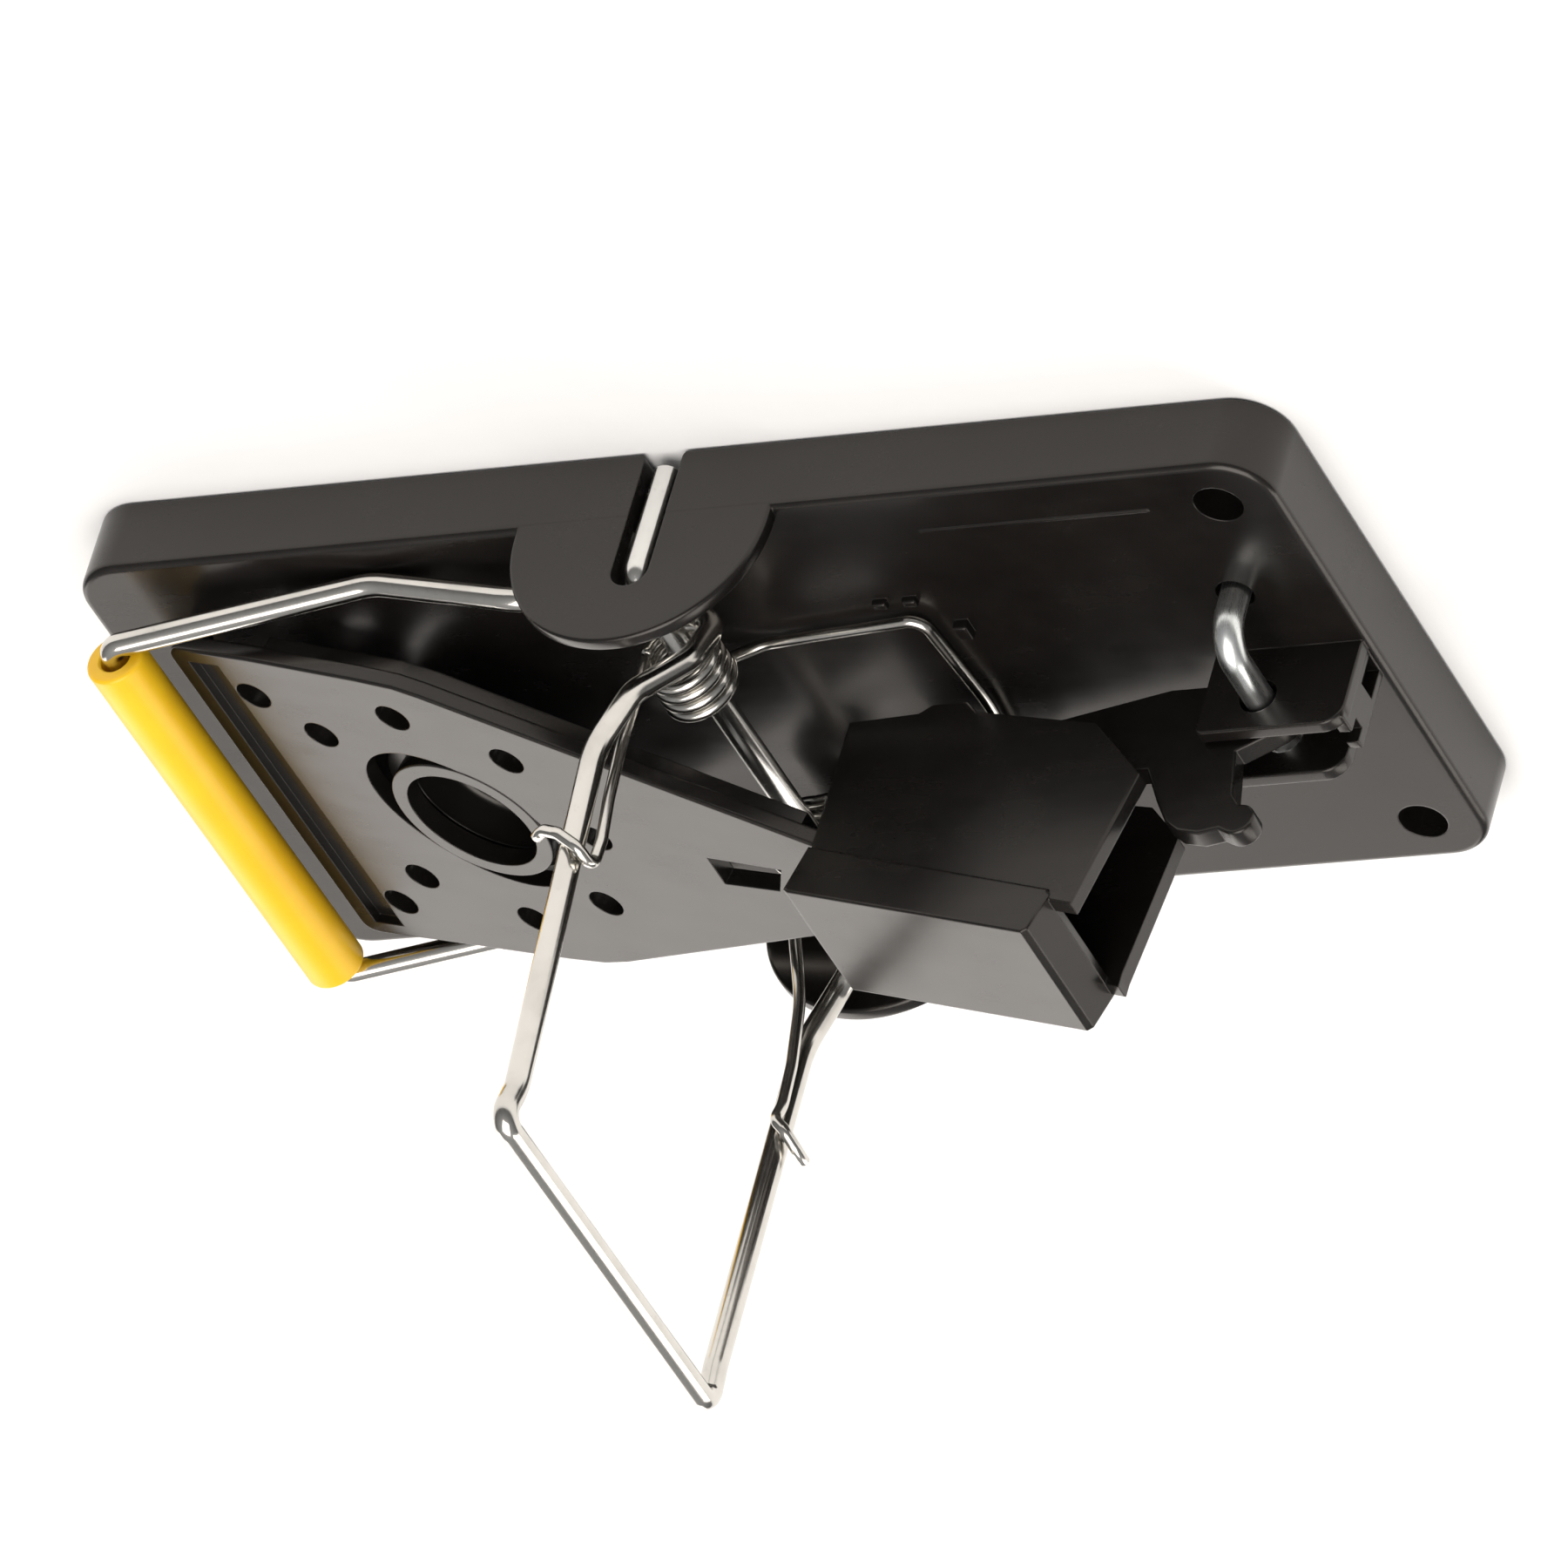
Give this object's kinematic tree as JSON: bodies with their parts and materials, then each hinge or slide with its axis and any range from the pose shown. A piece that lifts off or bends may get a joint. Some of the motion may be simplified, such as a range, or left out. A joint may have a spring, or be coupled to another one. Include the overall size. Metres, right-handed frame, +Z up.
{
  "type": "snap mouse trap",
  "caption": "Plastic snap mouse trap: sprung wire striker with a sleeved kill bar over a hinged treadle with a bait cup.",
  "frame": {"origin": "centre of the base's footprint, on the surface it stands on", "axes": "+X towards the kill bar, along the base's length; +Y across the base; +Z up"},
  "size_m": [0.101, 0.047, 0.0589],
  "materials": {
    "base_black_plastic": "satin moulded",
    "axle_bright_steel": "bright drawn wire",
    "pin_zinc_steel": "zinc plated",
    "treadle_black_plastic": "satin moulded",
    "cup_black_plastic": "satin moulded",
    "striker_bright_steel": "bright nickel-plated wire",
    "sleeve_yellow_plastic": "smooth",
    "spring_bright_steel": "bright spring wire",
    "near_leg_steel": "bright spring wire",
    "far_leg_steel": "bright spring wire"
  },
  "bodies": {
    "base_body": {"base": "base_black_plastic", "axle": "axle_bright_steel", "hinge_pin": "pin_zinc_steel", "torsion_spring": "spring_bright_steel"},
    "treadle_body": {"treadle": "treadle_black_plastic", "bait_cup": "cup_black_plastic"},
    "striker_body": {"striker": "striker_bright_steel", "spring_leg_near": "near_leg_steel", "spring_leg_far": "far_leg_steel"},
    "sleeve_body": {"kill_bar_sleeve": "sleeve_yellow_plastic"}
  },
  "joints": [
    {"name": "striker_swing", "type": "hinge", "parent": "base_body", "child": "striker_body", "pos_m": [0.0002, 0, 0.0114], "axis": [0, -1, 0], "range_deg": [0, 84], "stiffness_Nm_per_rad": 0.27},
    {"name": "treadle_tilt", "type": "hinge", "parent": "base_body", "child": "treadle_body", "pos_m": [-0.0425, 0, 0.011], "axis": [0, -1, 0], "range_deg": [0, 5]},
    {"name": "sleeve_roll", "type": "hinge", "parent": "striker_body", "child": "sleeve_body", "pos_m": [0.0465, 0, 0.0117], "axis": [0, 1, 0], "continuous": true}
  ]
}
